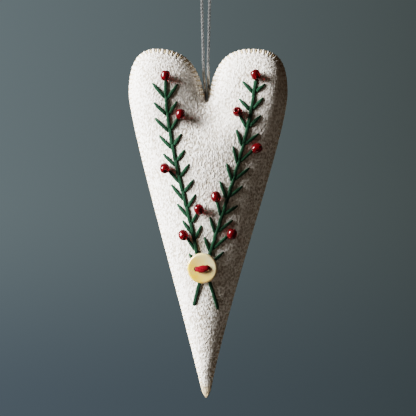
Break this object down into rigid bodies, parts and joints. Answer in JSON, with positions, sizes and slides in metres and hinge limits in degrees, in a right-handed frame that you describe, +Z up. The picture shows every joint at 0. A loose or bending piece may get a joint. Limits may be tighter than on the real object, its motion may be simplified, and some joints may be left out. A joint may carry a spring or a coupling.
{
  "type": "felt heart ornament",
  "caption": "Long stuffed felt heart with whip-stitched edge, embroidered sprigs, glass beads, a sewn-on button and a thread loop to hang it by.",
  "frame": {"origin": "the inside of the hanging loop's top, where a hook or twig bears", "axes": "+Z up, the front with the embroidery faces -Y, +X to the right seen from the front"},
  "size_m": [0.0663, 0.0303, 0.179],
  "materials": {
    "felt": "cream wool felt with a soft nap",
    "green_floss": "stranded embroidery floss",
    "red_glass": "glossy lined red glass",
    "cream_button": "pearly cream, smooth",
    "red_thread": "red sewing thread",
    "grey_thread": "twisted silver-grey thread"
  },
  "bodies": {
    "root": {"felt_front": "felt", "felt_back": "felt", "sprig_left": "green_floss", "sprig_right": "green_floss", "stem_tail_left": "green_floss", "stem_tail_right": "green_floss", "bead_left_1": "red_glass", "bead_left_2": "red_glass", "bead_left_3": "red_glass", "bead_left_4": "red_glass", "bead_left_5": "red_glass", "bead_right_1": "red_glass", "bead_right_2": "red_glass", "bead_right_3": "red_glass", "bead_right_4": "red_glass", "bead_right_5": "red_glass", "button": "cream_button", "button_tie": "red_thread", "hanging_loop": "grey_thread"}
  },
  "joints": []
}
